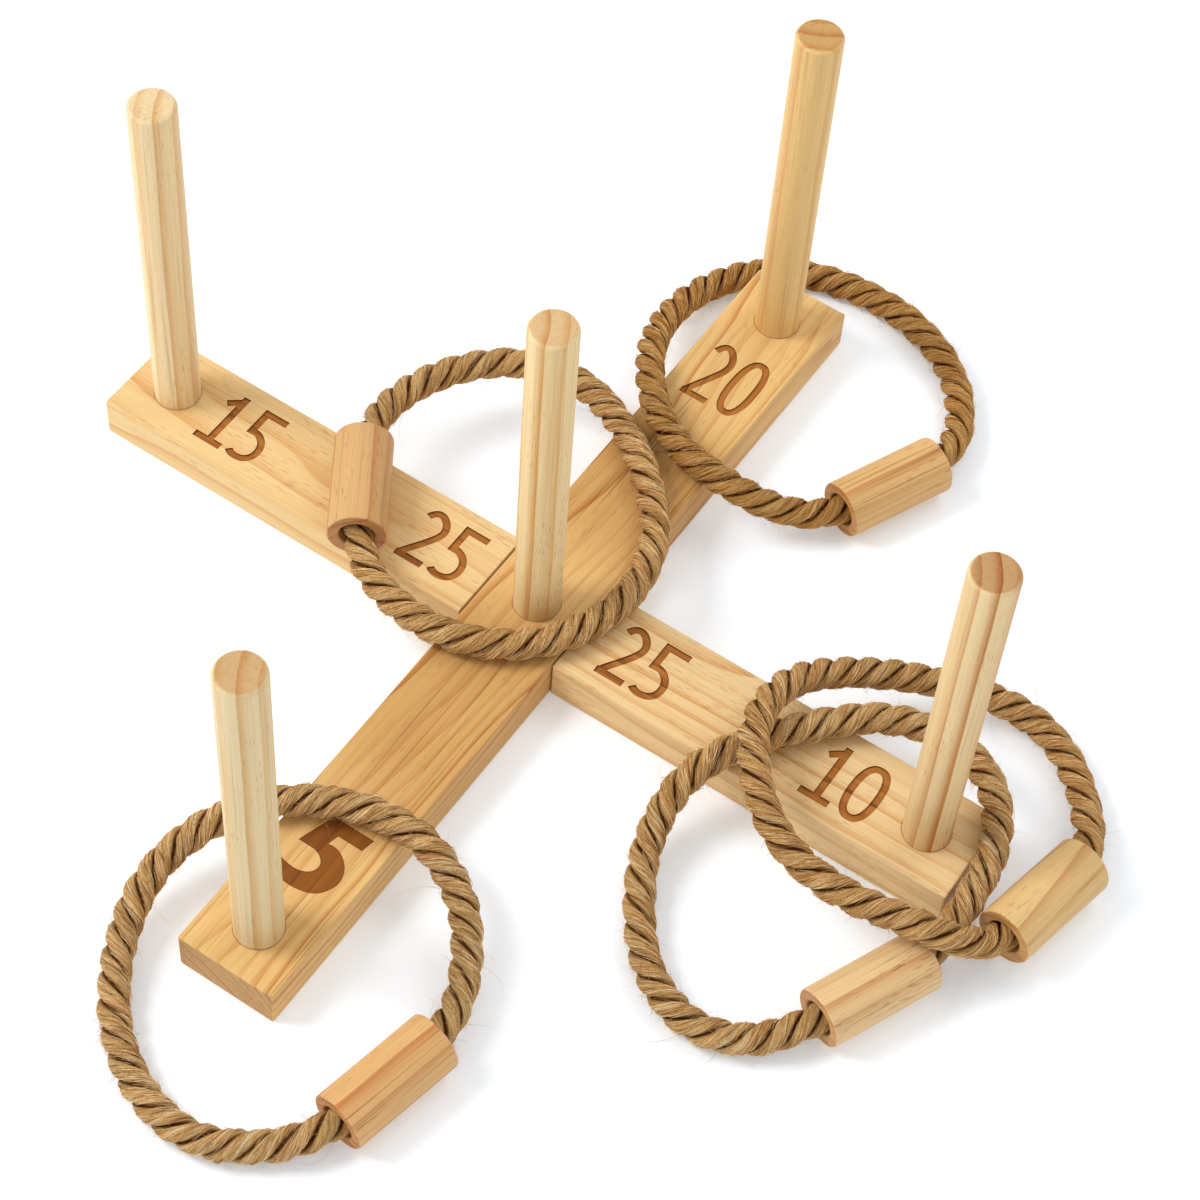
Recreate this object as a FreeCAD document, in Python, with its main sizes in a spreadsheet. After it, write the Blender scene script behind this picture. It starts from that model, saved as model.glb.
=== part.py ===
import FreeCAD, Part

import math
import os

# A garden ring toss set: a wooden cross of three boards that lies on the ground, five pegs standing in it, and
# five rope rings, each a length of laid rope whose two ends meet inside a wooden sleeve.
# Millimetres. X runs along the two short arms, Y along the long beam, Z up. The origin is on the ground under
# the middle peg, where the boards cross.

Vector = FreeCAD.Vector
doc = FreeCAD.newDocument("ring_toss_set")

SIZES = {
    "cross_span": 500,  # end to end, along the beam and across the arms
    "board_width": 54,
    "board_thickness": 24,
    "board_edge": 1.2,  # rounding of every board edge
    "joint_gap": 0.3,  # between an arm's end and the side of the beam
    "peg_diameter": 24,
    "peg_length": 230,
    "peg_depth": 20,  # how deep a peg stands in its blind bore
    "peg_offset": 224,  # middle of the cross to an outer peg
    "peg_edge": 2.5,  # rounding of the upper end
    "bore_diameter": 24.16,
    "bore_floor_gap": 0.2,
    "dowel_diameter": 8,
    "dowel_length": 38,
    "dowel_in_arm": 24,  # the part glued into the arm; the rest slides into the beam
    "dowel_offset": 17,  # each side of the arm's middle line
    "dowel_edge": 0.8,
    "dowel_hole_glued": 8.04,
    "dowel_hole_sliding": 8.2,
    "rope_diameter": 15,
    "sleeve_diameter": 30,
    "sleeve_bore": 18,
    "sleeve_length": 60,
    "sleeve_edge": 1.0,
    "number_height": 35.0,
    "number_stroke": 4.0,
    "number_width": 16.4,
    "number_pitch": 19.3,  # left edge of one figure to left edge of the next
    "engraving_depth": 1.0,
}

sheet = doc.addObject("Spreadsheet::Sheet", "sizes")
for row, (alias, value) in enumerate(SIZES.items(), start=1):
    sheet.set("A%d" % row, alias)
    sheet.set("B%d" % row, str(value))
    sheet.setAlias("B%d" % row, alias)
doc.recompute()


def size(alias):
    """A driving dimension, read from the sheet."""
    return float(sheet.get(alias))


def cell(alias):
    """The sheet's cell, as an expression writes it."""
    return "<<sizes>>.%s" % alias


# ---------------------------------------------------------------- helpers


def box(name, lengths, corner):
    """A Part::Box whose three sides and lowest corner are expressions."""
    made = doc.addObject("Part::Box", name)
    for side, expression in zip(("Length", "Width", "Height"), lengths):
        made.setExpression(side, expression)
    for axis, expression in zip("xyz", corner):
        made.setExpression("Placement.Base." + axis, expression)
    return made


def cylinder(name, diameter, height, base, lying_along_x=False):
    """A Part::Cylinder, upright or lying along +X, with its sizes and the middle of its base as expressions."""
    made = doc.addObject("Part::Cylinder", name)
    made.setExpression("Radius", "%s / 2" % diameter)
    made.setExpression("Height", height)
    if lying_along_x:
        made.Placement.Rotation = FreeCAD.Rotation(Vector(0, 1, 0), 90)
    for axis, expression in zip("xyz", base):
        made.setExpression("Placement.Base." + axis, expression)
    return made


def rounded(name, base, radius, wanted=lambda edge: True):
    """A Part::Fillet of those edges of base that are wanted."""
    doc.recompute()
    made = doc.addObject("Part::Fillet", name)
    made.Base = base
    made.Edges = [(i, radius, radius) for i, edge in enumerate(base.Shape.Edges, start=1) if wanted(edge)]
    return made


def cut(name, base, tools):
    """base with every one of tools cut out of it, each of which has to take some of it away."""
    doc.recompute()
    for tool in tools:
        assert base.Shape.common(tool.Shape).Volume > 1, (name, tool.Label)
    made = doc.addObject("Part::Cut", name)
    made.Base = base
    made.Tool = tools[0]
    if len(tools) > 1:
        made.Tool = doc.addObject("Part::MultiFuse", name + "_cuts")
        made.Tool.Shapes = tools
    return made


# ---------------------------------------------------------------- the engraved numbers


def bar(start, end, width):
    """A flat rectangle of the given width from start to end."""
    aside = (end - start).cross(Vector(0, 0, 1)).normalize() * (width / 2)
    corners = [start + aside, start - aside, end - aside, end + aside]
    return Part.Face(Part.makePolygon(corners + corners[:1]))


def smooth(points):
    """A curve that runs evenly through the points."""
    curve = Part.BSplineCurve()
    curve.interpolate(points)
    return curve


def stroke(points, width):
    """A flat face of even width along the smooth curve through the points, with square ends."""
    curve = smooth(points)
    length = curve.LastParameter - curve.FirstParameter
    left, right = [], []
    steps = 24
    for i in range(steps + 1):
        parameter = curve.FirstParameter + length * i / steps
        heading = curve.tangent(parameter)[0]
        side = Vector(-heading.y, heading.x, 0) * (width / 2)
        left.append(curve.value(parameter) + side)
        right.append(curve.value(parameter) - side)
    right.reverse()
    ends = [Part.LineSegment(left[-1], right[0]), Part.LineSegment(right[-1], left[0])]
    outline = [smooth(left), ends[0], smooth(right), ends[1]]
    return Part.Face(Part.Wire([edge.toShape() for edge in outline]))


def oval(middle, half_width, half_height):
    """A flat face between an ellipse and a rectangle in shape."""
    squareness = 0.83  # 1 would give an ellipse
    points = []
    for turn in range(0, 361, 15):
        x, y = math.cos(math.radians(turn)), math.sin(math.radians(turn))
        across = math.copysign(abs(x) ** squareness, x) * half_width
        along = math.copysign(abs(y) ** squareness, y) * half_height
        points.append(middle + Vector(across, along, 0))
    return Part.Face(Part.Wire(smooth(points).toShape()))


def figure(digit, left, bottom, width, height, weight):
    """The flat face of one figure that fills the given rectangle, with strokes as wide as weight."""
    run, rise = width - weight, height - weight

    def at(across, up):
        return Vector(left + weight / 2 + across * run, bottom + weight / 2 + up * rise, 0)

    if digit == "0":
        middle = Vector(left + width / 2, bottom + height / 2, 0)
        half_width, half_height = 0.54 * width, height / 2
        return oval(middle, half_width, half_height).cut(oval(middle, half_width - weight, half_height - weight))
    half = Vector(weight / 2, 0, 0)
    if digit == "1":
        stem = bar(at(0.56, 0.0), at(0.56, 1.0) + Vector(0, weight / 2, 0), weight)
        foot = bar(at(0.0, 0.0) - half, at(1.0, 0.0) + half, weight)
        flag = bar(at(0.0, 0.79), at(0.62, 0.98), weight)
        rectangle = Part.makePlane(width, height, Vector(left, bottom, 0))
        return stem.fuse([foot, flag.common(rectangle)])
    if digit == "2":
        bow = ((0.0, 0.86), (0.42, 1.0), (0.97, 0.77), (0.80, 0.51), (0.42, 0.26), (0.03, 0.0))
        foot = bar(at(0.0, 0.0) - half * 0.8, at(1.0, 0.0) + half, weight)
        return foot.fuse(stroke([at(*place) for place in bow], weight))
    if digit == "5":
        flag = bar(at(0.14, 1.0) - half, at(1.0, 1.0) + half, weight)
        stem = bar(at(0.14, 1.0), at(0.14, 0.57), weight)
        heel = bar(at(0.14, 0.57) - half, at(0.14, 0.57) + half, weight)
        bowl = ((0.14, 0.57), (0.50, 0.56), (0.88, 0.43), (1.0, 0.26), (0.86, 0.08), (0.48, 0.0), (-0.06, 0.06))
        return flag.fuse([stem, heel, stroke([at(*place) for place in bowl], weight)])
    raise ValueError(digit)


def broad_five(left, bottom, width, height):
    """The flat face of a leaning 5 with a bowl that swells toward the right."""

    def at(across, up):
        return Vector(left + across * width, bottom + up * height, 0)

    def through(*places):
        return [at(*place) for place in places]

    flag = through((0.05, 0.53), (0.25, 1.0), (1.0, 1.0), (0.945, 0.815), (0.51, 0.815), (0.465, 0.675))
    outer = through(
        (0.465, 0.675), (0.66, 0.67), (0.84, 0.59), (0.96, 0.47), (1.0, 0.35),
        (0.95, 0.20), (0.82, 0.08), (0.60, 0.015), (0.38, 0.0), (0.0, 0.05),
    )
    inner = through((0.0, 0.245), (0.25, 0.21), (0.45, 0.235), (0.57, 0.32), (0.58, 0.40), (0.50, 0.48), (0.30, 0.53))
    edges = [Part.LineSegment(start, end).toShape() for start, end in zip(flag, flag[1:])]
    edges.append(smooth(outer).toShape())
    edges.append(Part.LineSegment(outer[-1], inner[0]).toShape())
    edges.append(smooth(inner).toShape())
    edges.append(Part.LineSegment(inner[-1], flag[0]).toShape())
    return Part.Face(Part.Wire(edges))


def figures(text, middle, height=None, width=None, pitch=None):
    """The flat faces of a number centred on middle; the sheet's sizes are used unless others are given."""
    height = height or size("number_height")
    width = width or size("number_width")
    pitch = pitch or size("number_pitch")
    left = middle[0] - (pitch * (len(text) - 1) + width) / 2
    bottom = middle[1] - height / 2
    return [figure(d, left + i * pitch, bottom, width, height, size("number_stroke")) for i, d in enumerate(text)]


def engraving(name, faces, depth=None):
    """A cutter that sinks the faces into the top of a board."""
    depth = depth or size("engraving_depth")
    above = 2.0
    made = doc.addObject("Part::Feature", name)
    made.Shape = Part.makeCompound([face.extrude(Vector(0, 0, depth + above)) for face in faces])
    made.Placement.Base.z = size("board_thickness") - depth
    return made


# ---------------------------------------------------------------- boards, dowels and pegs

nodes = []


def node(feature):
    """Keeps feature as a sub-part; its Label is the name of its file."""
    nodes.append(feature)
    return feature


half_span = cell("cross_span") + " / 2"
half_width = cell("board_width") + " / 2"
offset = cell("peg_offset")
PEGS = {  # which peg: where its middle is, along X and Y
    "peg_5": ("0", "-1 * " + offset),
    "peg_20": ("0", offset),
    "peg_25": ("0", "0"),
    "peg_15": ("-1 * " + offset, "0"),
    "peg_10": (offset, "0"),
}


def peg_bore(peg):
    """The blind bore that a peg stands in."""
    depth = "(%s + %s)" % (cell("peg_depth"), cell("bore_floor_gap"))
    x, y = PEGS[peg]
    bottom = "%s - %s" % (cell("board_thickness"), depth)
    return cylinder(peg + "_bore", cell("bore_diameter"), depth + " + 2", (x, y, bottom))


def dowel_hole(name, diameter, left, length, y):
    """A hole along X at half the boards' thickness."""
    return cylinder(name, diameter, length, (left, y, cell("board_thickness") + " / 2"), lying_along_x=True)


def board(name, x_length, y_length, corner, cutters):
    """A board with rounded edges and the bores, holes and engravings of cutters."""
    plank = box(name + "_plank", (x_length, y_length, cell("board_thickness")), corner)
    return node(cut(name, rounded(name + "_edges", plank, size("board_edge")), cutters))


dowel_free = "(%s - %s)" % (cell("dowel_length"), cell("dowel_in_arm"))
arm_inner = "(%s / 2 + %s)" % (cell("board_width"), cell("joint_gap"))
ROWS = {"front": "-1 * " + cell("dowel_offset"), "back": cell("dowel_offset")}

beam_cutters = [peg_bore("peg_5"), peg_bore("peg_25"), peg_bore("peg_20")]
for row, y in ROWS.items():
    # each hole is 1 mm deeper than the dowel reaches, and breaks through the side of the beam
    depth = "(%s + 1)" % dowel_free
    left_end = "-1 * (%s + 1)" % half_width
    right_end = "%s - %s" % (half_width, depth)
    beam_cutters.append(dowel_hole("hole_left_" + row, cell("dowel_hole_sliding"), left_end, depth + " + 1", y))
    beam_cutters.append(dowel_hole("hole_right_" + row, cell("dowel_hole_sliding"), right_end, depth + " + 1", y))
beam_cutters.append(engraving("number_20", figures("20", (0.6, 174.4), height=41.1, width=15.8, pitch=19.1)))
beam_cutters.append(engraving("number_5", [broad_five(-14.9, -198.7, 31.0, 41.8)], depth=0.4))
board(
    "long_beam",
    cell("board_width"),
    cell("cross_span"),
    ("-1 * " + half_width, "-1 * " + half_span, "0"),
    beam_cutters,
)

arm_length = "%s - %s" % (half_span, arm_inner)
ARMS = {  # which arm: side of the beam, its peg, and its two numbers with the place of each along X
    "left_arm": (-1, "peg_15", (("15", -183.3), ("25", -57.6))),
    "right_arm": (1, "peg_10", (("25", 62.7), ("10", 180.0))),
}
for arm, (side, peg, numbers) in ARMS.items():
    outer = "-1 * " + half_span if side < 0 else arm_inner
    cutters = [peg_bore(peg)]
    for row, y in ROWS.items():
        inner_end = "-1 * (%s + %s)" % (arm_inner, cell("dowel_in_arm")) if side < 0 else arm_inner + " - 1"
        length = "%s + 1" % cell("dowel_in_arm")
        cutters.append(dowel_hole("%s_hole_%s" % (arm, row), cell("dowel_hole_glued"), inner_end, length, y))
    for text, x in numbers:
        cutters.append(engraving("%s_%s" % (arm, text), figures(text, (x, 0.0))))
    board(arm, arm_length, cell("board_width"), (outer, "-1 * " + half_width, "0"), cutters)

    for row, y in ROWS.items():
        start = "-1 * (%s + %s)" % (arm_inner, cell("dowel_in_arm"))
        if side > 0:
            start = "%s - %s" % (arm_inner, dowel_free)
        blank = cylinder(
            "%s_dowel_%s_blank" % (arm, row),
            cell("dowel_diameter"),
            cell("dowel_length"),
            (start, y, cell("board_thickness") + " / 2"),
            lying_along_x=True,
        )
        node(rounded("%s_dowel_%s" % (arm, row), blank, size("dowel_edge"), lambda edge: edge.Closed))

for peg, (x, y) in PEGS.items():
    stand = "%s - %s" % (cell("board_thickness"), cell("peg_depth"))
    blank = cylinder(peg + "_blank", cell("peg_diameter"), cell("peg_length"), (x, y, stand))
    middle_height = size("board_thickness")
    upper_end = lambda edge: edge.Closed and edge.CenterOfMass.z > middle_height
    node(rounded(peg, blank, size("peg_edge"), upper_end))

# ---------------------------------------------------------------- rope rings

# Each ring is named after the peg it lies round. The sleeve has the middle of its axis, the axis's heading in
# degrees from +X and how far it dips below level. The route is the rope's middle line: straight runs between
# these points, joined by arcs. It starts and ends inside the sleeve, where the rope lies low in the bore.
RINGS = {
    "ring_5": {
        "sleeve": ((91, -249.5, 15), 78.5, 0),
        "route": [
            (89.2, -258.3, 13.4), (83.9, -284.3, 13.4), (63, -306.5, 7.8), (35, -321, 7.8), (1, -316, 7.8),
            (-31, -294.5, 7.8), (-52, -263, 11), (-61, -229, 19.4), (-52, -196, 29), (-30, -167, 32.6),
            (2, -148.5, 32.4), (38.5, -145, 31.8), (70, -158.5, 22), (89.5, -185.5, 13), (98.1, -214.6, 13.4),
            (92.8, -240.7, 13.4),
        ],
    },
    "ring_20": {
        "sleeve": ((102, 171, 15), 66, 0),
        "route": [
            (98.3, 162.7, 13.4), (87.6, 138.6, 13.4), (64.5, 121, 19), (34, 111, 32.4), (0, 117.5, 33),
            (-29, 142, 33), (-47, 176, 25), (-52.5, 213, 14), (-43.5, 248, 7.8), (-18, 272.5, 7.8),
            (19, 282.5, 7.8), (57.5, 279, 7.8), (90.5, 261.5, 7.8), (111.5, 232.5, 9), (116.4, 203.4, 13.4),
            (105.7, 179.2, 13.4),
        ],
    },
    "ring_10_lower": {
        "sleeve": ((244.5, -83, 15), 66.5, 0),
        "route": [
            (240.9, -91.3, 13.4), (230.3, -115.6, 13.4), (211.5, -136.5, 7.8), (183.5, -145.5, 7.8),
            (153, -133, 7.8), (129, -104, 7.8), (115, -73, 14.5), (116, -44, 31), (130, -15, 34.4),
            (151, 14, 32.2), (177, 38, 33.8), (210.5, 46, 35.4), (241, 34, 34.8), (258, 6, 31.4),
            (259.4, -25, 21.2), (258.7, -50.4, 13.4), (248.1, -74.7, 13.4),
        ],
    },
    "ring_10_upper": {
        "sleeve": ((287.3, 3.5, 16.9), 79, 3.2),
        "route": [
            (285.6, -5.3, 15.8), (281, -28.8, 17.3), (270.5, -47, 32.4), (246, -57.5, 42), (209, -63, 40.2),
            (175, -58, 43), (147.5, -38.5, 49.4), (130.5, -10, 50), (130, 20.5, 43.6), (145.5, 47, 34),
            (172, 69.5, 25), (202.5, 88, 16.4), (233, 95, 9.8), (260, 84, 7.8), (281, 61, 9), (294, 38.2, 13.4),
            (289, 12.3, 14.8),
        ],
    },
    "ring_25": {
        "sleeve": ((-105, -3.5, 39.3), 122.5, 0),
        "route": [
            (-100.2, -11.1, 37.7), (-85.9, -33.4, 37.7), (-61.5, -46.5, 34.2), (-27.5, -49, 32), (7, -36, 32),
            (30.5, -8, 32), (39, 27, 32), (30.5, 61, 32), (7.5, 89, 32), (-24, 112.5, 32), (-57.5, 124, 32),
            (-90, 115.5, 33.4), (-114, 88.5, 35.6), (-126, 56, 37.2), (-124.1, 26.4, 37.7), (-109.8, 4.1, 37.7),
        ],
    },
}


def rounded_path(points):
    """The wire of straight runs through points, each corner an arc as large as its shorter run allows."""
    edges, radii = [], []
    here = points[0]
    for before, corner, after in zip(points, points[1:], points[2:]):
        towards, away = (corner - before), (after - corner)
        reach = 0.45 * min(towards.Length, away.Length)
        half_turn = towards.getAngle(away) / 2
        radius = reach / math.tan(half_turn)
        start = corner - towards.normalize() * reach
        end = corner + away.normalize() * reach
        inward = (start + end) * 0.5 - corner
        depth = radius / math.cos(half_turn) - radius
        edges.append(Part.LineSegment(here, start).toShape())
        edges.append(Part.Arc(start, corner + inward.normalize() * depth, end).toShape())
        radii.append(radius)
        here = end
    edges.append(Part.LineSegment(here, points[-1]).toShape())
    return Part.Wire(edges), radii


def rope(name, route):
    """A plain tube along the route, as thick as the rope."""
    path, radii = rounded_path([Vector(*point) for point in route])
    radius = size("rope_diameter") / 2
    section = Part.Wire([Part.Circle(path.Edges[0].Vertexes[0].Point, path.Edges[0].tangentAt(0), radius).toShape()])
    tube = path.makePipeShell([section], True, False)
    expected = math.pi * radius**2 * path.Length
    assert abs(tube.Volume / expected - 1) < 0.01, (name, tube.Volume, expected)
    made = doc.addObject("Part::Feature", name)
    made.Shape = tube
    print(name, "length %.0f mm," % path.Length, "radii", [round(r) for r in radii])
    return node(made)


def sleeve(name, middle, heading, dip):
    """A turned wooden sleeve, open at both ends, its axis level or dipping towards the heading."""
    doc.recompute()
    outside = cylinder(name + "_outside", cell("sleeve_diameter"), cell("sleeve_length"), ("0",) * 3)
    bore = cylinder(name + "_bore", cell("sleeve_bore"), cell("sleeve_length") + " + 2", ("0", "0", "-1"))
    made = rounded(name, cut(name + "_tube", outside, [bore]), size("sleeve_edge"), lambda edge: edge.Closed)
    turn = FreeCAD.Rotation(Vector(0, 0, 1), heading) * FreeCAD.Rotation(Vector(0, 1, 0), 90 + dip)
    along = turn.multVec(Vector(0, 0, 1))
    made.Placement = FreeCAD.Placement(Vector(*middle) - along * (size("sleeve_length") / 2), turn)
    return node(made)


for ring, facts in RINGS.items():
    rope(ring + "_rope", facts["route"])
    sleeve(ring + "_sleeve", *facts["sleeve"])

# ---------------------------------------------------------------- checks and files

doc.recompute()
for made in doc.Objects:
    assert not {"Invalid", "Error"} & set(made.State), (made.Label, made.State)
for made in nodes:
    assert not made.Shape.isNull() and made.Shape.isValid(), made.Label
    assert len(made.Shape.Solids) == 1, (made.Label, len(made.Shape.Solids))

os.makedirs("parts", exist_ok=True)
for made in nodes:
    made.Shape.exportStep("parts/%s.step" % made.Label)
print(len(nodes), "sub-parts written")
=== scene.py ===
import math
import random

import bpy
import numpy as np
from mathutils import Euler, Matrix, Vector


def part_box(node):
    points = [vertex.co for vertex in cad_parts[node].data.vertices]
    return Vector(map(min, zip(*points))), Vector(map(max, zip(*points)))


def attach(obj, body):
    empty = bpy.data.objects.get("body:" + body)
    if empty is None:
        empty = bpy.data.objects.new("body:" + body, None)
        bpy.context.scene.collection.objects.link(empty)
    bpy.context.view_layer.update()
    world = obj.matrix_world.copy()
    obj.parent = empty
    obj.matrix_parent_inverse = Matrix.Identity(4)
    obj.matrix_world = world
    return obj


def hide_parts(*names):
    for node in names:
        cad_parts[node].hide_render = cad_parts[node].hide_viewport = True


# The looks of a garden ring toss set: sanded pine boards with burnt-in scores, pine pegs and laid rope
# rings with turned sleeves. Metres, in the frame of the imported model: +X along the right arm, +Y along the
# long beam towards the score 20, +Z up.

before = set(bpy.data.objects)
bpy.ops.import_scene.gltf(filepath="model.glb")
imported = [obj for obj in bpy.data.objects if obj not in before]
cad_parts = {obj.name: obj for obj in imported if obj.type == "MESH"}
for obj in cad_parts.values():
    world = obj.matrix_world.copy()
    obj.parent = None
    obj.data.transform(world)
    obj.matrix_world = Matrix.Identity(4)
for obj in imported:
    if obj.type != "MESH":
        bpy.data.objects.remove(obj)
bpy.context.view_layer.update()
scene = bpy.context.scene
MM = 0.001


def link(name, data):
    """A new object for the data, in the scene."""
    made = bpy.data.objects.new(name, data)
    scene.collection.objects.link(made)
    return made


# ---------------------------------------------------------------- camera

LENS = 93.7  # in millimetres, on a sensor 36 wide
CAMERA_AT = Vector((0.4641, -0.7528, 1.2860))
CAMERA_AIM = Vector((0.0163, 0.0339, 0.0))
CAMERA_ROLL = math.radians(5.207)


def look_at(position, target, roll):
    """The rotation of a camera at position that looks at target, rolled about its line of sight."""
    forward = (target - position).normalized()
    upright = forward.to_track_quat("-Z", "Y").to_matrix()
    return (upright @ Matrix.Rotation(roll, 3, "Z")).to_quaternion()


camera = link("camera", bpy.data.cameras.new("camera"))
scene.camera = camera
camera.data.sensor_width = 36.0
camera.data.lens = LENS
camera.data.clip_start = 0.05
camera.location = CAMERA_AT
camera.rotation_mode = "QUATERNION"
camera.rotation_quaternion = look_at(CAMERA_AT, CAMERA_AIM, CAMERA_ROLL)

# ---------------------------------------------------------------- ropes

ROPE_DIAMETER = 15 * MM
STRANDS = 3
LAY_LENGTH = 39 * MM  # along the rope, for one strand to go once round
STRAND_OUT = 3.4 * MM  # half thickness of a strand, away from the rope's middle line
STRAND_ROUND = 4.4 * MM  # half width of a strand, round the middle line
STRAND_AT = ROPE_DIAMETER / 2 - STRAND_OUT
STRAND_SIDES = 44
YARNS = 7  # ridges round each strand
YARN_DEPTH = 0.32 * MM
YARN_DRIFT = 0.6 * math.tau / LAY_LENGTH  # how fast the yarns turn back round their strand
LAY_WANDER = 0.45  # how far the lay strays from an even turn, in radians
SWELL = 0.04  # how much the thickness of a strand varies
FRAY = 0.6  # how much the height of its yarns varies
RIPPLES = 8  # small waves that roughen a strand
RIPPLE_DEPTH = 0.05 * MM
STEP = 0.9 * MM  # between two cross-sections
ANY_PHASE = 6.3  # random phases run up to this, which is about a full turn

FIBRE_JOINTS = 6  # points along each fibre
FIBRE_SIDES = 3
NAP = 4600  # short fibres that lie on each rope
HAIRS, LONG_HAIRS = 700, 24  # that leave it
SLEEVED_NAP = 27 * MM  # no fibre starts this near to the rope's ends, which lie inside the sleeve
SLEEVED_HAIR = 24 * MM
LOWEST = 0.2 * MM  # fibres are held this far above the ground
ROPE_SEED, NAP_SEED = 40, 70  # of the first ring

# the middle line's points, as in the CAD model, in millimetres
ROUTES = {
    "ring_5": [
        (89.2, -258.3, 13.4), (83.9, -284.3, 13.4), (63, -306.5, 7.8), (35, -321, 7.8), (1, -316, 7.8),
        (-31, -294.5, 7.8), (-52, -263, 11), (-61, -229, 19.4), (-52, -196, 29), (-30, -167, 32.6),
        (2, -148.5, 32.4), (38.5, -145, 31.8), (70, -158.5, 22), (89.5, -185.5, 13), (98.1, -214.6, 13.4),
        (92.8, -240.7, 13.4),
    ],
    "ring_20": [
        (98.3, 162.7, 13.4), (87.6, 138.6, 13.4), (64.5, 121, 19), (34, 111, 32.4), (0, 117.5, 33),
        (-29, 142, 33), (-47, 176, 25), (-52.5, 213, 14), (-43.5, 248, 7.8), (-18, 272.5, 7.8),
        (19, 282.5, 7.8), (57.5, 279, 7.8), (90.5, 261.5, 7.8), (111.5, 232.5, 9), (116.4, 203.4, 13.4),
        (105.7, 179.2, 13.4),
    ],
    "ring_10_lower": [
        (240.9, -91.3, 13.4), (230.3, -115.6, 13.4), (211.5, -136.5, 7.8), (183.5, -145.5, 7.8),
        (153, -133, 7.8), (129, -104, 7.8), (115, -73, 14.5), (116, -44, 31), (130, -15, 34.4),
        (151, 14, 32.2), (177, 38, 33.8), (210.5, 46, 35.4), (241, 34, 34.8), (258, 6, 31.4),
        (259.4, -25, 21.2), (258.7, -50.4, 13.4), (248.1, -74.7, 13.4),
    ],
    "ring_10_upper": [
        (285.6, -5.3, 15.8), (281, -28.8, 17.3), (270.5, -47, 32.4), (246, -57.5, 42), (209, -63, 40.2),
        (175, -58, 43), (147.5, -38.5, 49.4), (130.5, -10, 50), (130, 20.5, 43.6), (145.5, 47, 34),
        (172, 69.5, 25), (202.5, 88, 16.4), (233, 95, 9.8), (260, 84, 7.8), (281, 61, 9), (294, 38.2, 13.4),
        (289, 12.3, 14.8),
    ],
    "ring_25": [
        (-100.2, -11.1, 37.7), (-85.9, -33.4, 37.7), (-61.5, -46.5, 34.2), (-27.5, -49, 32), (7, -36, 32),
        (30.5, -8, 32), (39, 27, 32), (30.5, 61, 32), (7.5, 89, 32), (-24, 112.5, 32), (-57.5, 124, 32),
        (-90, 115.5, 33.4), (-114, 88.5, 35.6), (-126, 56, 37.2), (-124.1, 26.4, 37.7), (-109.8, 4.1, 37.7),
    ],
}


def middle_line(name, route):
    """Evenly spaced points along the smooth curve whose control points are the route's."""
    curve = bpy.data.curves.new(name + "_line", "CURVE")
    curve.dimensions = "3D"
    spline = curve.splines.new("NURBS")
    spline.points.add(len(route) - 1)
    for point, place in zip(spline.points, route):
        point.co = (*[v * MM for v in place], 1.0)
    spline.order_u = 3
    spline.use_endpoint_u = True
    spline.resolution_u = 40
    holder = link(name + "_line", curve)
    mesh = bpy.data.meshes.new_from_object(holder)
    points = np.array([v.co for v in mesh.vertices])
    bpy.data.objects.remove(holder)
    gone = np.r_[0, np.cumsum(np.linalg.norm(np.diff(points, axis=0), axis=1))]
    stations = np.linspace(0, gone[-1], int(gone[-1] / STEP) + 1)
    return np.stack([np.interp(stations, gone, points[:, i]) for i in range(3)], axis=1), stations


def frames(points):
    """Unit tangents, and two unit normals that turn as little as they can along the points."""
    tangents = np.gradient(points, axis=0)
    tangents /= np.linalg.norm(tangents, axis=1)[:, None]
    normals = np.empty_like(points)
    normal = np.cross(tangents[0], (0, 0, 1))
    for i, tangent in enumerate(tangents):
        normal = normal - tangent * normal.dot(tangent)
        normal /= np.linalg.norm(normal)
        normals[i] = normal
    return tangents, normals, np.cross(tangents, normals)


def waves(rng, at, longest):
    """A smooth irregular curve of about unit height, sampled at the distances in at."""
    total = np.zeros_like(at)
    for i in range(5):
        pace = i + 1 + rng.random()
        total += np.sin(math.tau * at * pace / longest + rng.random() * ANY_PHASE) / (1 + 0.5 * i)
    return total / 1.8


def tube_faces(rings, around, start):
    """The four-sided faces of a tube of rings of points, and a flat face for each end."""

    def at(ring, i):
        return start + ring * around + i % around

    sides = [
        (at(r, i), at(r, i + 1), at(r + 1, i + 1), at(r + 1, i))
        for r in range(rings - 1)
        for i in range(around)
    ]
    near_end = tuple(at(0, i) for i in reversed(range(around)))
    far_end = tuple(at(rings - 1, i) for i in range(around))
    return sides + [near_end, far_end]


def smooth_object(name, verts, faces):
    """A new object of smooth-shaded faces."""
    mesh = bpy.data.meshes.new(name)
    mesh.from_pydata(verts, [], faces)
    mesh.polygons.foreach_set("use_smooth", [True] * len(mesh.polygons))
    return link(name, mesh)


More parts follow.
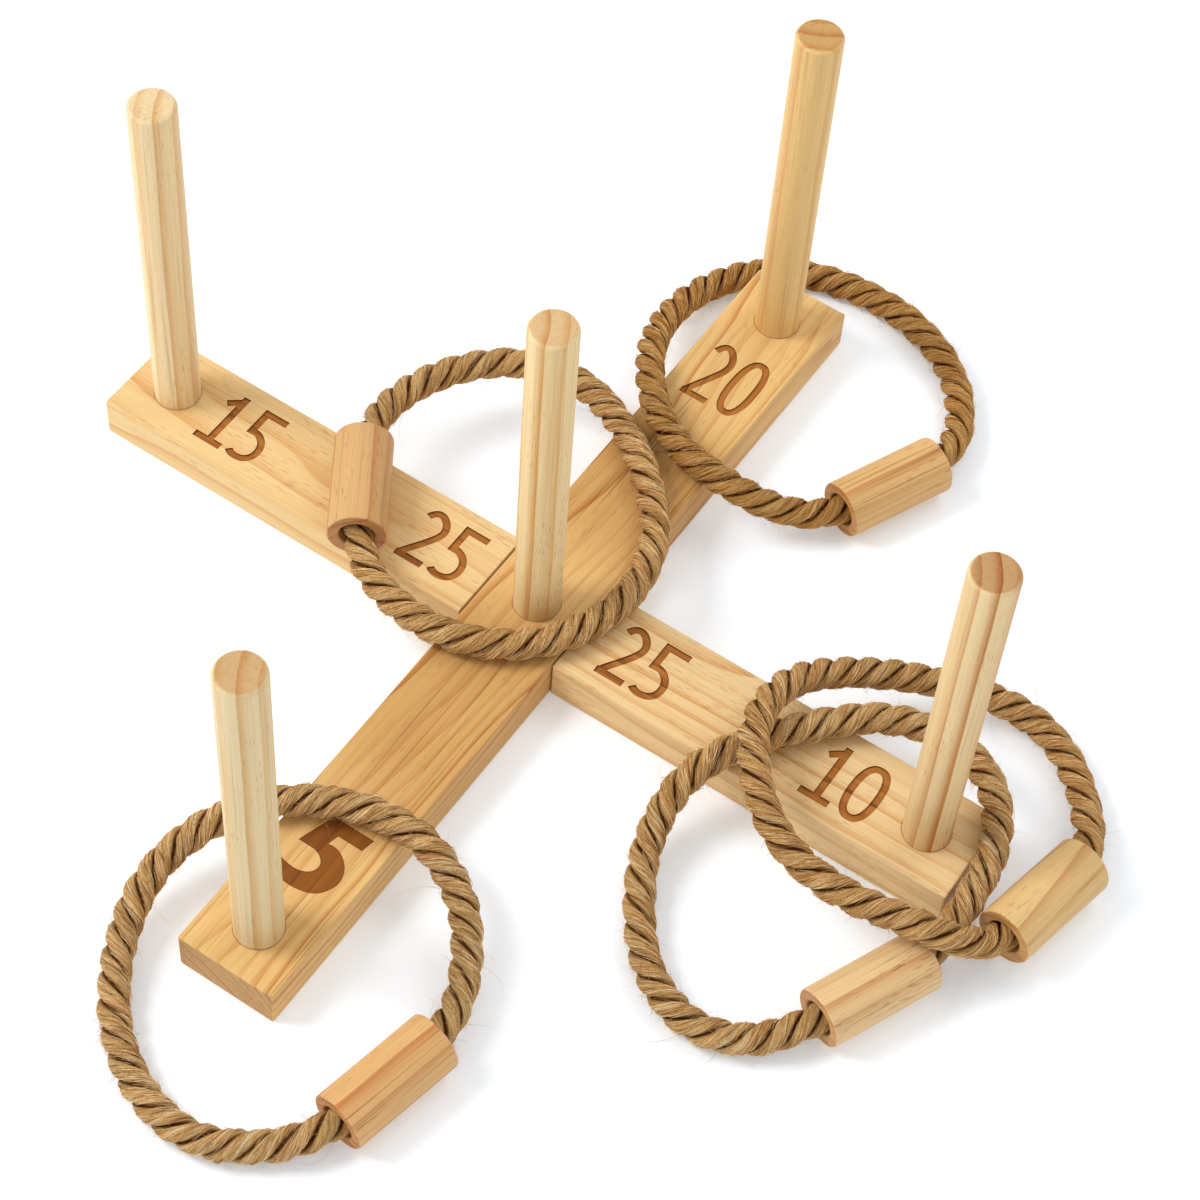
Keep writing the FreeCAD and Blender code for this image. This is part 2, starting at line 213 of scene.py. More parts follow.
def laid_rope(name, points, stations, rng):
    """The strands laid left-handed round the middle line, with their yarns as uneven ridges.

    Also gives the strands' middle lines and cross-sections, for the fibres that lie on them.
    """
    _, normals, binormals = frames(points)
    angles = np.arange(STRAND_SIDES) * math.tau / STRAND_SIDES
    turn = -math.tau * stations / LAY_LENGTH + LAY_WANDER * waves(rng, stations, longest=0.4)
    verts, faces, yarn, strands = [], [], [], []
    for strand in range(STRANDS):
        about = turn + strand * math.tau / STRANDS
        outward = np.cos(about)[:, None] * normals + np.sin(about)[:, None] * binormals
        sideways = -np.sin(about)[:, None] * normals + np.cos(about)[:, None] * binormals
        swell = 1 + SWELL * waves(rng, stations, longest=0.1)
        centre = points + outward * STRAND_AT
        phase = angles[None, :] + YARN_DRIFT * stations[:, None]
        ridge = np.abs(np.sin(phase * YARNS / 2)) ** 0.7 - 0.7
        fray = 1 + FRAY * waves(rng, stations, longest=0.03)[:, None]
        relief = YARN_DEPTH * ridge * fray
        for _ in range(RIPPLES):
            count, pace, shift = rng.randrange(4, 19), rng.uniform(60, 420), rng.random() * ANY_PHASE
            relief = relief + RIPPLE_DEPTH * np.sin(count * phase + pace * stations[:, None] + shift)
        out, wide = STRAND_OUT * swell, STRAND_ROUND * swell
        ring = (
            centre[:, None, :]
            + outward[:, None, :] * ((out[:, None] + relief) * np.cos(angles))[:, :, None]
            + sideways[:, None, :] * ((wide[:, None] + relief) * np.sin(angles))[:, :, None]
        )
        faces += tube_faces(len(points), STRAND_SIDES, len(verts))
        verts += ring.reshape(-1, 3).tolist()
        strands.append(np.column_stack([centre, outward, sideways, out, wide]))
        # where each point is on its strand: along it, round it, with the strands 0.05 apart so that each has
        # a pattern of its own, and how far in from the rope's outside, which sets the painted shade in the
        # grooves
        along = np.broadcast_to(stations[:, None], phase.shape)
        depth = np.broadcast_to(1 - np.cos(angles), phase.shape)
        yarn.append(np.stack([along, phase * 4 * MM + strand * 0.05, depth], axis=2).reshape(-1, 3))
    made = smooth_object(name, verts, faces)
    layer = made.data.attributes.new("yarn", "FLOAT_VECTOR", "POINT")
    layer.data.foreach_set("vector", np.concatenate(yarn).astype(np.float32).ravel())
    return made, strands


def nap_lines(strands, stations, draw):
    """The middle lines of short fibres that run along the strands' yarns, and their outward directions."""
    share = np.linspace(0, 1, FIBRE_JOINTS)
    start = draw.uniform(SLEEVED_NAP, stations[-1] - SLEEVED_NAP - 13 * MM, NAP)
    reach = draw.uniform(3 * MM, 12 * MM, NAP)
    along = start[:, None] + reach[:, None] * share
    drift = -YARN_DRIFT * draw.uniform(0.5, 1.5, NAP) + draw.normal(0, 45, NAP)
    angle = draw.normal(0, 0.85, NAP)[:, None] + drift[:, None] * reach[:, None] * share
    angle = angle + draw.uniform(-0.12, 0.12, (NAP, 1)) * np.sin(math.pi * share)
    # in millimetres: all of them stand a little off the strand, and one in five has a loose end
    lift = draw.uniform(0.0, 0.22, (NAP, 1)) + draw.exponential(0.16, (NAP, 1)) * np.sin(math.pi * share)
    loose = (draw.random(NAP) < 0.2) * draw.uniform(0.2, 0.9, NAP)
    lift = (lift + loose[:, None] * share ** 2) * MM
    which = draw.integers(0, STRANDS, NAP)
    columns = strands[0].shape[1]
    rows = np.empty((NAP, FIBRE_JOINTS, columns))
    for number, strand in enumerate(strands):
        mine = which == number
        for column in range(columns):
            rows[mine, :, column] = np.interp(along[mine], stations, strand[:, column])
    centre, outward, sideways, out, wide = np.split(rows, (3, 6, 9, 10), axis=2)
    cos, sin = np.cos(angle)[..., None], np.sin(angle)[..., None]
    place = centre + outward * (out + lift[..., None]) * cos
    place = place + sideways * (wide + lift[..., None]) * sin
    return place, outward * cos + sideways * sin


def surface_fibres(name, strands, stations, seed):
    """Short fibres that lie on the strands, thickest in their middle, each with a tone of its own."""
    draw = np.random.default_rng(seed)
    place, up = nap_lines(strands, stations, draw)
    heading = np.gradient(place, axis=1)
    heading /= np.linalg.norm(heading, axis=2)[..., None]
    aside = np.cross(heading, up)
    taper = 1 - 0.75 * np.abs(2 * np.linspace(0, 1, FIBRE_JOINTS) - 1) ** 3
    thick = draw.uniform(0.08, 0.21, (NAP, 1)) * MM * taper
    spun = np.arange(FIBRE_SIDES) * math.tau / FIBRE_SIDES
    verts = place[:, :, None, :] + thick[:, :, None, None] * (
        up[:, :, None, :] * np.cos(spun)[:, None] + aside[:, :, None, :] * np.sin(spun)[:, None]
    )
    verts[..., 2] = np.maximum(verts[..., 2], LOWEST)
    each = FIBRE_JOINTS * FIBRE_SIDES
    faces = []
    for number in range(NAP):
        faces += tube_faces(FIBRE_JOINTS, FIBRE_SIDES, number * each)
    made = smooth_object(name, verts.reshape(-1, 3).tolist(), faces)
    layer = made.data.attributes.new("tone", "FLOAT", "POINT")
    layer.data.foreach_set("value", np.repeat(draw.random(NAP), each).astype(np.float32))
    return made


def stray_fibres(name, points, rng, lengths, count, lift):
    """Fine hairs that leave the rope's surface, each a thin tube that tapers to its tip."""
    tangents, normals, binormals = frames(points)
    verts, faces = [], []
    hidden = int(SLEEVED_HAIR / STEP)
    for _ in range(count):
        at = rng.randrange(hidden, len(points) - hidden)
        about = rng.random() * math.tau
        outward = Vector(math.cos(about) * normals[at] + math.sin(about) * binormals[at])
        sideways = outward.cross(Vector(tangents[at]))
        heading = Vector(tangents[at]) * rng.choice((-1, 1)) + sideways * rng.uniform(-0.8, 0.8)
        heading = (heading.normalized() + outward * rng.uniform(0.1, lift)).normalized()
        curl = Vector([rng.gauss(0, 1) for _ in range(3)]) * 0.35 - outward * rng.uniform(0, 0.25)
        reach = rng.uniform(*lengths)
        here = Vector(points[at]) + outward * (ROPE_DIAMETER / 2 * rng.uniform(0.84, 0.96))
        thick = rng.uniform(0.06, 0.11) * MM
        start = len(verts)
        for j in range(FIBRE_JOINTS):
            across = heading.orthogonal().normalized()
            radius = thick * (1 - 0.7 * j / (FIBRE_JOINTS - 1))
            for k in range(FIBRE_SIDES):
                spun = Matrix.Rotation(k * math.tau / FIBRE_SIDES, 3, heading) @ across
                place = here + spun * radius
                verts.append((place.x, place.y, max(place.z, LOWEST)))
            heading = (heading + curl * 0.45).normalized()
            curl = curl + Vector([rng.gauss(0, 1) for _ in range(3)]) * 0.25
            here = here + heading * (reach / (FIBRE_JOINTS - 1))
        faces += tube_faces(FIBRE_JOINTS, FIBRE_SIDES, start)
    return smooth_object(name, verts, faces)


ropes = {}
for number, (ring, route) in enumerate(ROUTES.items()):
    rng = random.Random(ROPE_SEED + number)
    line, stations = middle_line(ring, route)
    rope, strands = laid_rope(ring + "_laid_rope", line, stations, rng)
    nap = surface_fibres(ring + "_nap", strands, stations, NAP_SEED + number)
    fibres = stray_fibres(ring + "_fibres", line, rng, (4 * MM, 12 * MM), HAIRS, 0.8)
    long_ones = stray_fibres(ring + "_long_fibres", line, rng, (14 * MM, 30 * MM), LONG_HAIRS, 1.4)
    for piece in (rope, nap, fibres, long_ones):
        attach(piece, ring)
    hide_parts(ring + "_rope")
    ropes[ring] = rope, nap, fibres, long_ones

# ---------------------------------------------------------------- materials


def linear(colour):
    """A colour given as 0 to 255 on the screen, as linear light."""
    return tuple(((c / 255 + 0.055) / 1.055) ** 2.4 if c > 10 else c / 255 / 12.92 for c in colour)


class Shader:
    """A new material, and short ways to add and join its nodes."""

    def __init__(self, name):
        self.material = bpy.data.materials.new(name)
        self.material.use_nodes = True
        self.tree = self.material.node_tree
        self.surface = self.tree.nodes["Principled BSDF"]
        self.surface.inputs["Specular IOR Level"].default_value = 0.3

    def node(self, kind, **settings):
        made = self.tree.nodes.new("ShaderNode" + kind)
        for key, value in settings.items():
            setattr(made, key, value)
        return made

    def put(self, value, socket):
        """Sets socket to a plain value, or joins it to the socket that value is."""
        if isinstance(value, bpy.types.NodeSocket):
            self.tree.links.new(value, socket)
        else:
            socket.default_value = value

    def math(self, operation, a, b=0.0, c=0.0, clamp=False):
        made = self.node("Math", operation=operation, use_clamp=clamp)
        for value, socket in zip((a, b, c), made.inputs):
            self.put(value, socket)
        return made.outputs[0]

    def highest(self, values):
        """The greatest of one or more values."""
        most, *others = values
        for value in others:
            most = self.math("MAXIMUM", most, value)
        return most

    def vector(self, operation, a, b=(0, 0, 0)):
        made = self.node("VectorMath", operation=operation)
        self.put(a, made.inputs[0])
        self.put(b, made.inputs[1])
        return made.outputs["Value" if operation in ("DOT_PRODUCT", "LENGTH") else "Vector"]

    def parts(self, vector):
        """The outputs X, Y and Z of a vector."""
        made = self.node("SeparateXYZ")
        self.put(vector, made.inputs[0])
        return made.outputs

    def mapped(self, vector, location=(0, 0, 0), rotation=(0, 0, 0), scale=(1, 1, 1)):
        made = self.node("Mapping", vector_type="POINT")
        self.put(vector, made.inputs["Vector"])
        made.inputs["Location"].default_value = location
        made.inputs["Rotation"].default_value = rotation
        made.inputs["Scale"].default_value = scale
        return made.outputs[0]

    def noise(self, vector, scale, detail=2.0, roughness=0.5, output="Fac"):
        made = self.node("TexNoise")
        self.put(vector, made.inputs["Vector"])
        made.inputs["Scale"].default_value = scale
        made.inputs["Detail"].default_value = detail
        made.inputs["Roughness"].default_value = roughness
        return made.outputs[output]

    def span(self, value, low, high, to_low=0.0, to_high=1.0, smooth=False):
        """value brought from low..high to to_low..to_high and held there."""
        made = self.node("MapRange", interpolation_type="SMOOTHSTEP" if smooth else "LINEAR")
        self.put(value, made.inputs["Value"])
        made.inputs["From Min"].default_value = low
        made.inputs["From Max"].default_value = high
        made.inputs["To Min"].default_value = to_low
        made.inputs["To Max"].default_value = to_high
        return made.outputs["Result"]

    def ramp(self, value, stops):
        made = self.node("ValToRGB")
        self.put(value, made.inputs["Fac"])
        elements = made.color_ramp.elements
        while len(elements) < len(stops):
            elements.new(1.0)
        for element, (place, colour) in zip(elements, stops):
            element.position = place
            element.color = (*linear(colour), 1.0)
        return made.outputs["Color"]

    def grey(self, value):
        made = self.node("CombineColor")
        for socket in made.inputs:
            self.put(value, socket)
        return made.outputs[0]

    def mix(self, factor, a, b, blend="MIX"):
        made = self.node("Mix", data_type="RGBA", blend_type=blend)
        self.put(factor, made.inputs["Factor"])
        for value, socket in ((a, made.inputs["A"]), (b, made.inputs["B"])):
            self.put((*linear(value), 1.0) if isinstance(value, tuple) else value, socket)
        return made.outputs["Result"]

    def tinted(self, colour, tint):
        return self.mix(1.0, colour, tint, "MULTIPLY")

    def bump(self, height, distance, strength=1.0):
        made = self.node("Bump")
        made.inputs["Strength"].default_value = strength
        made.inputs["Distance"].default_value = distance
        self.put(height, made.inputs["Height"])
        self.put(made.outputs[0], self.surface.inputs["Normal"])


# heights in the boards: the top face is at 24 mm
UNDER_TOP = 23.85 * MM
SHALLOW_FLOOR = 23.4 * MM  # the large 5 is cut less deep than this, the other figures deeper
UNDER_FIGURES = 22.5 * MM
# from the middle of a peg: where the dark rim of its bore, a joint line with painted contact shade, starts to
# fade, and where it is gone
SHADED_RIM_FROM, SHADED_RIM_TO = 12.1 * MM, 12.6 * MM


def seams_and_painted_shade(s, place, facing, bores, butt):
    """How dark the rims of the bores and the edge at the butt joint are painted, as joint lines with painted
    shade where the parts meet, or None on a piece with neither.
    """
    seams_shaded = []
    for x, y in bores:
        away = s.vector("MULTIPLY", s.vector("SUBTRACT", place, (x * MM, y * MM, 0)), (1, 1, 0))
        seams_shaded.append(s.span(s.vector("LENGTH", away), SHADED_RIM_FROM, SHADED_RIM_TO, 0.8, 0.0))
    if butt is not None:
        away = s.math("ABSOLUTE", s.math("SUBTRACT", s.parts(place)["X"], butt * MM))
        edge = s.span(away, 0.3 * MM, 1.0 * MM, 1.0, 0.0)
        # only the rounded edge, not the face of the end
        seams_shaded.append(s.math("MULTIPLY", edge, s.span(facing, 0.8, 0.99, 1.0, 0.0)))
    return s.highest(seams_shaded) if seams_shaded else None


def in_figures(s, at, windows):
    """1 on what lies a little under the top face inside one of the windows, and 0 elsewhere."""
    inside = []
    for low_x, high_x, low_y, high_y in windows:
        here = s.math("COMPARE", at["X"], (low_x + high_x) / 2 * MM, (high_x - low_x) / 2 * MM)
        there = s.math("COMPARE", at["Y"], (low_y + high_y) / 2 * MM, (high_y - low_y) / 2 * MM)
        inside.append(s.math("MULTIPLY", here, there))
    under = s.math("LESS_THAN", at["Z"], UNDER_TOP)
    above = s.math("GREATER_THAN", at["Z"], UNDER_FIGURES)
    return s.math("MULTIPLY", s.highest(inside), s.math("MULTIPLY", under, above))


def scorched(s, at, normal, grain):
    """The colour of a burnt figure, darker along the grain, on its walls (burnt darker, with painted shade in
    the recess) and where it is shallow.
    """
    colour = s.ramp(grain, [(0.0, (180, 114, 44)), (0.45, (154, 90, 28)), (1.0, (96, 48, 10))])
    shallow = s.math("GREATER_THAN", at["Z"], SHALLOW_FLOOR)
    colour = s.mix(shallow, colour, s.tinted(colour, (208, 196, 130)))
    # painted shade: the walls of a figure are darkened, partly as the burn's own darker edge and partly as
    # shade in the recess
    wall_char_and_shade = s.span(s.parts(normal)["Z"], 0.2, 0.9, 1.0, 0.0)
    return s.mix(wall_char_and_shade, colour, (118, 64, 26))


def wood(
    name,
    turn,
    pith,
    spacing,
    early,
    late,
    end,
    line=1.0,
    waver=4 * MM,
    streaks=0.35,
    fleck=0.5,
    fleck_colour=(172, 106, 46),
    seed=0.0,
    burnt=(),
    bores=(),
    butt=None,
    rope_shade_stretches=(),
):
    """Sanded wood as a solid: growth rings about a pith line, and streaks, fibres and flecks along the grain.

    turn brings the object's axes to the wood's, whose Z runs along the grain. pith is where the pith line is
    and spacing the width of a growth ring, in millimetres across the grain. early and late are the colours
    within a ring, and end tints the end grain. line, waver, streaks and fleck say how strong the rings, their
    bends, the streaks and the flecks are. burnt holds windows (low x, high x, low y, high y), inside which
    what lies under the top face is scorched. bores holds the middles of the pegs, whose rims are painted
    dark, a joint line with painted shade where peg and board meet, and butt the x of an end whose edge is
    painted dark the same way because it meets another board. The stretches (middle y, half length) given last
    are tinted a deeper, more orange tone, painted shade with the warm bounce of the ropes that lie across
    them.
    """
    s = Shader(name)
    place = s.node("TexCoord").outputs["Object"]
    normal = s.node("TexCoord").outputs["Normal"]
    local = s.mapped(place, rotation=turn)
    seeded = s.vector("ADD", local, (seed, seed * 0.7, seed * 1.3))

    def grain_noise(across, along, *settings, **output):
        """Noise drawn out along the grain: how fine it is across the grain and along it, per metre."""
        return s.noise(s.mapped(seeded, scale=(across, across, along)), 1.0, *settings, **output)

    # the growth rings: pale wood that darkens slowly to a thin line, then starts pale again
    push = s.vector("SUBTRACT", grain_noise(9, 2.6, 3.0, output="Color"), (0.5, 0.5, 0.5))
    push = s.vector("MULTIPLY", push, (waver * 5, waver * 5, 0))
    across = s.vector("ADD", s.mapped(local, location=(-pith[0] * MM, -pith[1] * MM, 0)), push)
    radius = s.vector("LENGTH", s.vector("MULTIPLY", across, (1, 1, 0)))
    turns = s.math("DIVIDE", radius, spacing * MM)
    turns = s.math("ADD", turns, s.span(grain_noise(500, 14), 0.2, 0.8, -0.035, 0.035))
    ring = s.math("FRACT", turns)
    rise = s.math("POWER", s.span(ring, 0.30, 0.90), 1.9)
    dark = s.math("MULTIPLY", rise, s.span(ring, 0.915, 0.985, 1.0, 0.0, smooth=True))
    which = s.node("TexWhiteNoise", noise_dimensions="1D")
    s.put(s.math("FLOOR", turns), which.inputs["W"])
    strength = s.math("POWER", which.outputs["Value"], 1.5)
    dark = s.math("MULTIPLY", dark, s.span(strength, 0, 1, 0.2 * line, line))

    # what runs along the grain
    fibre = grain_noise(2100, 26, 3.0, 0.65)
    streak = grain_noise(360, 5, 4.0, 0.65)
    cloud = grain_noise(26, 5)
    thread = s.math("MULTIPLY", s.span(grain_noise(780, 9, 1.0), 0.60, 0.74), s.span(cloud, 0.38, 0.6))
    pores = s.node("TexVoronoi", feature="F1")
    s.put(s.mapped(seeded, scale=(1250, 1250, 120)), pores.inputs["Vector"])
    pores.inputs["Scale"].default_value = 1.0
    few = s.span(s.parts(pores.outputs["Color"])["X"], 0.55, 0.75)
    chosen = s.math("MULTIPLY", few, s.span(grain_noise(75, 16), 0.46, 0.62))
    dash = s.math("MULTIPLY", s.span(pores.outputs["Distance"], 0.20, 0.40, 1.0, 0.0), chosen)

    tone = s.math("ADD", dark, s.span(streak, 0.3, 0.7, -0.09, 0.13))
    tone = s.math("ADD", tone, s.span(cloud, 0.3, 0.7, -0.08, 0.10), clamp=True)
    between = tuple(0.6 * a + 0.4 * b for a, b in zip(early, late))
    colour = s.ramp(tone, [(0.0, early), (0.42, between), (1.0, late)])
    deep = tuple(0.78 * c for c in late)
    colour = s.mix(s.math("MULTIPLY", thread, streaks), colour, deep)
    colour = s.tinted(colour, s.grey(s.span(fibre, 0.25, 0.75, 0.87, 1.09)))
    colour = s.mix(s.math("MULTIPLY", dash, fleck), colour, fleck_colour)

    # the ends of the grain are darker and duller
    facing = s.math("ABSOLUTE", s.vector("DOT_PRODUCT", s.mapped(normal, rotation=turn), (0, 0, 1)))
    ending = s.math("MULTIPLY", s.span(facing, 0.75, 0.97), 0.8)
    colour = s.mix(ending, colour, s.tinted(colour, end))

    at = s.parts(place)
    # painted shade: along these stretches the beam is tinted darker and more orange, standing in for the
    # shade and warm bounce of the ropes that lie across it
    for middle_y, half in rope_shade_stretches:
        far = s.math("ABSOLUTE", s.math("SUBTRACT", at["Y"], middle_y * MM))
        rope_shade = s.span(far, 0.3 * half * MM, half * MM, 1.0, 0.0, smooth=True)
        colour = s.mix(rope_shade, colour, s.tinted(colour, (232, 220, 205)))
    # painted shade: the rims of the bores and the butt joint's edge are darkened as joint lines shaded where
    # the parts meet
    seam_and_shade = seams_and_painted_shade(s, place, facing, bores, butt)
    if seam_and_shade is not None:
        colour = s.mix(s.math("MULTIPLY", seam_and_shade, 0.85), colour, (104, 66, 34))
    roughness = s.span(fibre, 0.2, 0.8, 0.46, 0.62)
    if burnt:
        mask = in_figures(s, at, burnt)
        grain = s.math("ADD", s.math("MULTIPLY", tone, 0.9), s.span(streak, 0.3, 0.7, -0.1, 0.35))
        grain = s.math("ADD", grain, s.math("MULTIPLY", thread, 0.6), clamp=True)
        colour = s.mix(mask, colour, scorched(s, at, normal, grain))
        roughness = s.math("ADD", roughness, s.math("MULTIPLY", mask, 0.2))
    s.put(colour, s.surface.inputs["Base Color"])
    s.put(roughness, s.surface.inputs["Roughness"])
    height = s.math("ADD", s.math("MULTIPLY", fibre, 0.5), s.math("MULTIPLY", dash, -0.6))
    height = s.math("ADD", height, s.math("MULTIPLY", dark, 0.25))
    s.bump(height, 0.09 * MM, 0.6)
    return s.material


def wear(node, material):
    """Gives a CAD node's object the material."""
    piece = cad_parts[node]
    piece.data.materials.clear()
    piece.data.materials.append(material)


ALONG_X = (0.0, math.radians(-90), 0.0)
ALONG_Y = (math.radians(90), 0.0, 0.0)
ALONG_Z = (0.0, 0.0, 0.0)

wear("long_beam", wood(
    "beam_pine", ALONG_Y, pith=(-60, 50), spacing=4.4, early=(228, 187, 120), late=(184, 112, 46),
    end=(218, 205, 198), line=0.95, waver=9 * MM, streaks=0.65, fleck=0.45, seed=1.0,
    burnt=[(-22, 22, 150, 198), (-20, 22, -202, -154)], bores=[(0, -224), (0, 0), (0, 224)],
    # painted shade and warm bounce from the ropes that lie across the beam
    rope_shade_stretches=[(-75, 95), (85, 75)],
))
ARM_PINE = {"spacing": 7.5, "end": (220, 203, 188), "line": 0.8, "waver": 8 * MM, "fleck": 0.65}
wear("left_arm", wood(
    "left_arm_pine", ALONG_X, pith=(46, 26), early=(232, 198, 140), late=(204, 140, 72), seed=2.0,
    burnt=[(-206, -161, -19, 20), (-81, -35, -19, 20)], bores=[(-224, 0)], butt=-27.3, **ARM_PINE,
))
wear("right_arm", wood(
    "right_arm_pine", ALONG_X, pith=(-50, 34), early=(234, 202, 148), late=(204, 142, 76), seed=3.0,
    burnt=[(39, 86, -19, 20), (157, 202, -19, 20)], bores=[(224, 0)], butt=27.3, **ARM_PINE,
))
PEGS = {  # early wood, late wood, end, pith in millimetres from the peg's middle, how strong the rings are
    "peg_5": ((228, 207, 161), (206, 156, 90), (218, 190, 162), (52, 30), 0.8),
    "peg_20": ((231, 194, 129), (202, 138, 66), (212, 192, 172), (-30, 52), 0.9),
    "peg_25": ((237, 211, 158), (210, 150, 80), (224, 206, 196), (-55, -31), 0.9),
    "peg_15": ((238, 214, 166), (208, 152, 88), (240, 236, 234), (54, 31), 0.75),
    "peg_10": ((234, 207, 156), (192, 126, 62), (196, 162, 132), (-50, -29), 1.1),
}
for number, (peg, (early, late, end, pith, line)) in enumerate(PEGS.items()):
    low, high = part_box(peg)
    middle = (low + high) / 2
    wear(peg, wood(
        peg + "_pine", ALONG_Z, pith=(middle.x / MM + pith[0], middle.y / MM + pith[1]), spacing=8.8,
        early=early, late=late, end=end, line=line, waver=1.0 * MM, streaks=0.4, seed=5.0 + number,
    ))
for number, dowel in enumerate(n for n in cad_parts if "dowel" in n):
    wear(dowel, wood(
        dowel + "_beech", ALONG_X, pith=(30, 10), spacing=3, early=(228, 192, 144), late=(200, 154, 104),
        end=(225, 205, 190), seed=20.0 + number,
    ))

SLEEVES = {  # heading of the axis in degrees, early wood, late wood
    "ring_5": (78.5, (221, 175, 115), (186, 118, 62)),
    "ring_20": (66, (219, 177, 116), (192, 130, 72)),
    "ring_10_lower": (66.5, (230, 194, 140), (198, 142, 88)),
    "ring_10_upper": (79, (223, 186, 126), (196, 142, 84)),
    "ring_25": (122.5, (210, 166, 110), (182, 122, 68)),
}
for number, (ring, (heading, early, late)) in enumerate(SLEEVES.items()):
    low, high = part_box(ring + "_sleeve")
    # turn the heading to +X, and +X to the grain's +Z
    turn = Euler(ALONG_X).to_matrix() @ Euler((0, 0, -math.radians(heading))).to_matrix()
    middle = turn @ ((low + high) / 2)
    wear(ring + "_sleeve", wood(
        ring + "_sleeve_wood", tuple(turn.to_euler()), pith=(middle.x / MM + 26, middle.y / MM - 12),
        spacing=6, early=early, late=late, end=(222, 194, 168), line=0.9, waver=2 * MM, streaks=0.85,
        fleck=0.8, fleck_colour=(150, 90, 46), seed=30.0 + number,
    ))


def jute(name):
    """A new material for jute, dull and rough."""
    s = Shader(name)
    s.surface.inputs["Specular IOR Level"].default_value = 0.15
    s.surface.inputs["Roughness"].default_value = 0.85
    return s


def shaded(s, colour, shade):
    """The material with the colour, in the shade of its ring."""
    s.put(s.tinted(colour, shade), s.surface.inputs["Base Color"])
    return s.material


def strand_jute(name, shade):
    """Jute on the strands: streaked along the yarns, with painted shade in the grooves between strands."""
    s = jute(name)
    yarn = s.node("Attribute", attribute_name="yarn").outputs["Vector"]
    depth = s.parts(yarn)["Z"]
    flat = s.vector("MULTIPLY", yarn, (1, 1, 0))
    hair = s.noise(s.mapped(flat, scale=(210, 3600, 1)), 1.0, 3.0, 0.75)
    band = s.noise(s.mapped(flat, scale=(70, 1200, 1)), 1.0, 2.0, 0.6)
    patch = s.noise(s.mapped(flat, scale=(40, 200, 1)), 1.0)
    tone = s.math("ADD", s.math("MULTIPLY", hair, 0.6), s.math("MULTIPLY", band, 0.4))
    tone = s.math("ADD", tone, s.span(patch, 0.3, 0.7, -0.09, 0.09))
    colour = s.ramp(tone, [
        (0.28, (92, 57, 26)), (0.39, (190, 135, 73)), (0.50, (243, 193, 122)), (0.64, (255, 234, 180)),
    ])
    speck = s.noise(s.node("TexCoord").outputs["Object"], 1100.0, 2.0, 0.6)
    colour = s.mix(s.span(speck, 0.55, 0.68, 0.0, 0.5), colour, (90, 54, 26))
    # painted shade: the jute is darker the deeper it lies in the grooves between the strands
    groove_shade = s.span(depth, 0.65, 1.3, smooth=True)
    colour = s.mix(groove_shade, colour, s.tinted(colour, (126, 93, 62)))
    s.bump(s.math("ADD", hair, s.math("MULTIPLY", band, 0.8)), 1.2 * MM)
    return shaded(s, colour, shade)


def lying_jute(name, shade):
    """Jute for the fibres on the strands, each with a tone of its own."""
    s = jute(name)
    tone = s.node("Attribute", attribute_name="tone").outputs["Fac"]
    colour = s.ramp(tone, [
        (0.0, (124, 79, 38)), (0.28, (206, 154, 91)), (0.62, (244, 201, 139)), (1.0, (255, 240, 200)),
    ])
    return shaded(s, colour, shade)


def stray_jute(name, shade):
    """Jute for the hairs that leave the rope."""
    s = jute(name)
    tangle = s.noise(s.node("TexCoord").outputs["Object"], 160.0)
    return shaded(s, s.ramp(tangle, [(0.3, (166, 122, 72)), (0.7, (226, 188, 134))]), shade)


SHADES = {  # how the jute of each ring differs
    "ring_5": (255, 254, 252),
    "ring_20": (237, 221, 190),
    "ring_10_lower": (255, 252, 246),
    "ring_10_upper": (250, 242, 230),
    "ring_25": (255, 250, 240),
}
for ring, shade in SHADES.items():
    rope, nap, fibres, long_ones = ropes[ring]
    rope.data.materials.append(strand_jute(ring + "_strands", shade))
    nap.data.materials.append(lying_jute(ring + "_nap", shade))
    hair_look = stray_jute(ring + "_hairs", shade)
    fibres.data.materials.append(hair_look)
    long_ones.data.materials.append(hair_look)

# ---------------------------------------------------------------- floor and light

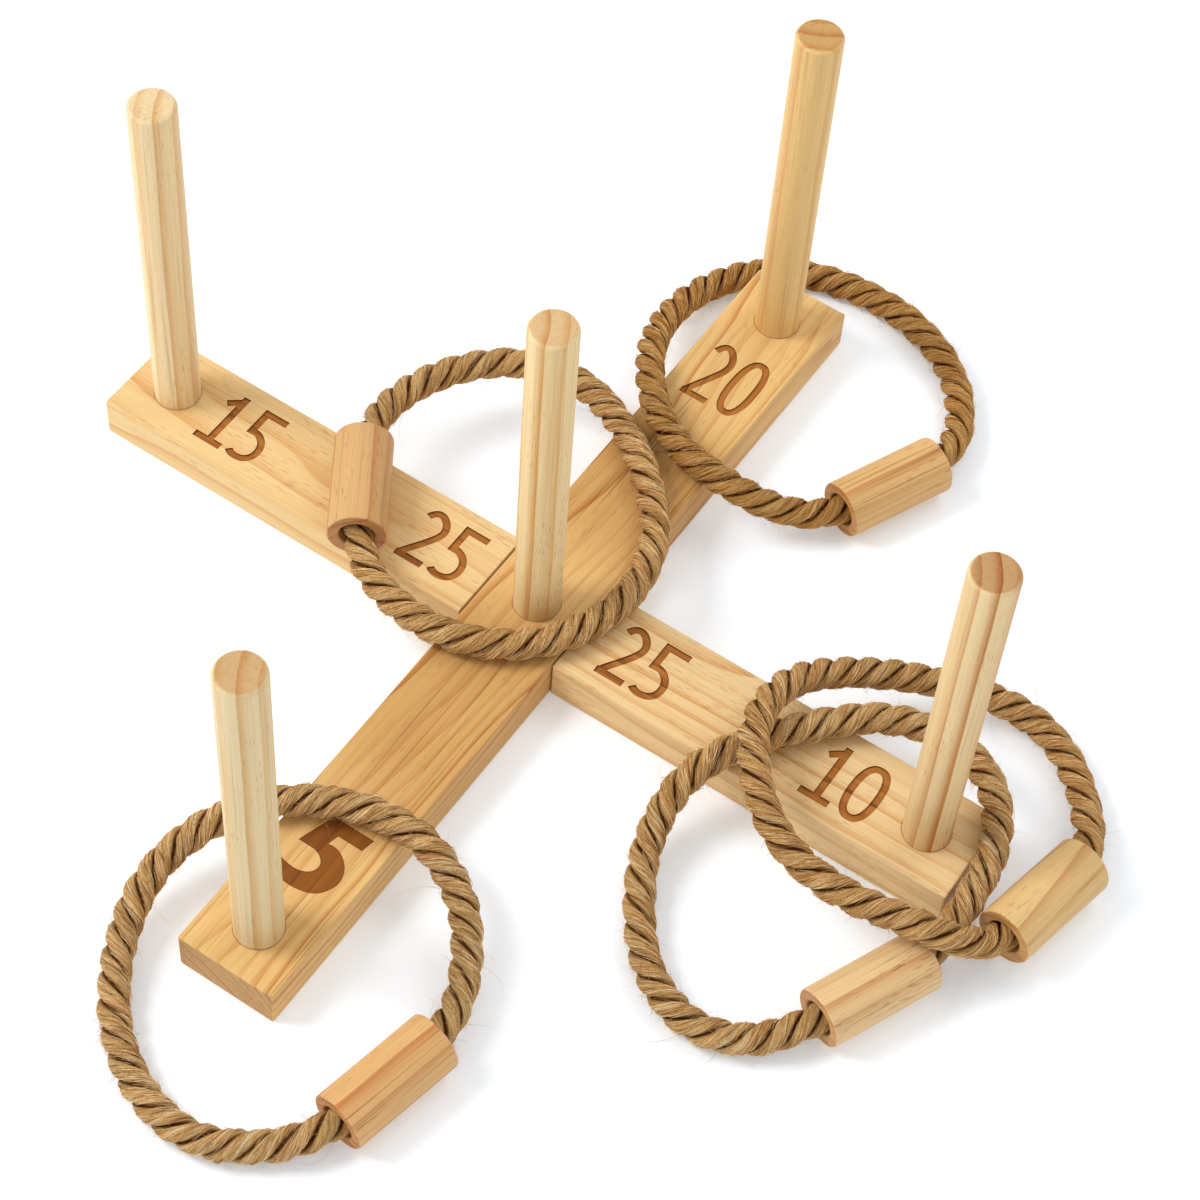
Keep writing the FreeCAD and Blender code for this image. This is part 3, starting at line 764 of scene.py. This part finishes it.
FLOOR_HALF = 12.0  # half its width
FLOOR_AT = -0.2 * MM
FLOOR_GLOW = 0.19
WORLD_LIGHT = 0.72

floor_mesh = bpy.data.meshes.new("floor")
corners = [(x * FLOOR_HALF, y * FLOOR_HALF, FLOOR_AT) for x, y in ((-1, -1), (1, -1), (1, 1), (-1, 1))]
floor_mesh.from_pydata(corners, [], [(0, 1, 2, 3)])
floor = link("floor", floor_mesh)
paper = Shader("paper")
paper.surface.inputs["Base Color"].default_value = (0.90, 0.935, 0.975, 1.0)
paper.surface.inputs["Roughness"].default_value = 0.9
paper.surface.inputs["Specular IOR Level"].default_value = 0.0
# a faint glow keeps the shadows on the paper as light as on a lit sweep
paper.surface.inputs["Emission Color"].default_value = (0.90, 0.955, 1.0, 1.0)
paper.surface.inputs["Emission Strength"].default_value = FLOOR_GLOW
floor_mesh.materials.append(paper.material)

world = bpy.data.worlds.new("studio")
scene.world = world
world.use_nodes = True
sky = world.node_tree
backdrop = sky.nodes["Background"]
backdrop.inputs["Color"].default_value = (1.0, 1.0, 1.0, 1.0)
# the backdrop looks white wherever it is seen, and lights the set a little less than that
ray = sky.nodes.new("ShaderNodeLightPath")
glow = sky.nodes.new("ShaderNodeMath")
glow.operation = "MULTIPLY_ADD"
glow.inputs[1].default_value = 1.0 - WORLD_LIGHT
glow.inputs[2].default_value = WORLD_LIGHT
sky.links.new(ray.outputs["Is Camera Ray"], glow.inputs[0])
sky.links.new(glow.outputs[0], backdrop.inputs["Strength"])


def softbox(name, position, width, height, power):
    """A rectangular lamp at position that faces the origin."""
    light = bpy.data.lights.new(name, "AREA")
    light.shape = "RECTANGLE"
    light.size, light.size_y = width, height
    light.energy = power
    made = link(name, light)
    made.location = position
    made.rotation_mode = "QUATERNION"
    made.rotation_quaternion = (-Vector(position)).to_track_quat("-Z", "Y")


softbox("key", (-1.7, -0.9, 2.1), 1.1, 1.1, 42)
softbox("fill", (0.6, 1.6, 2.2), 1.8, 1.2, 12)

scene.view_settings.view_transform = "Standard"
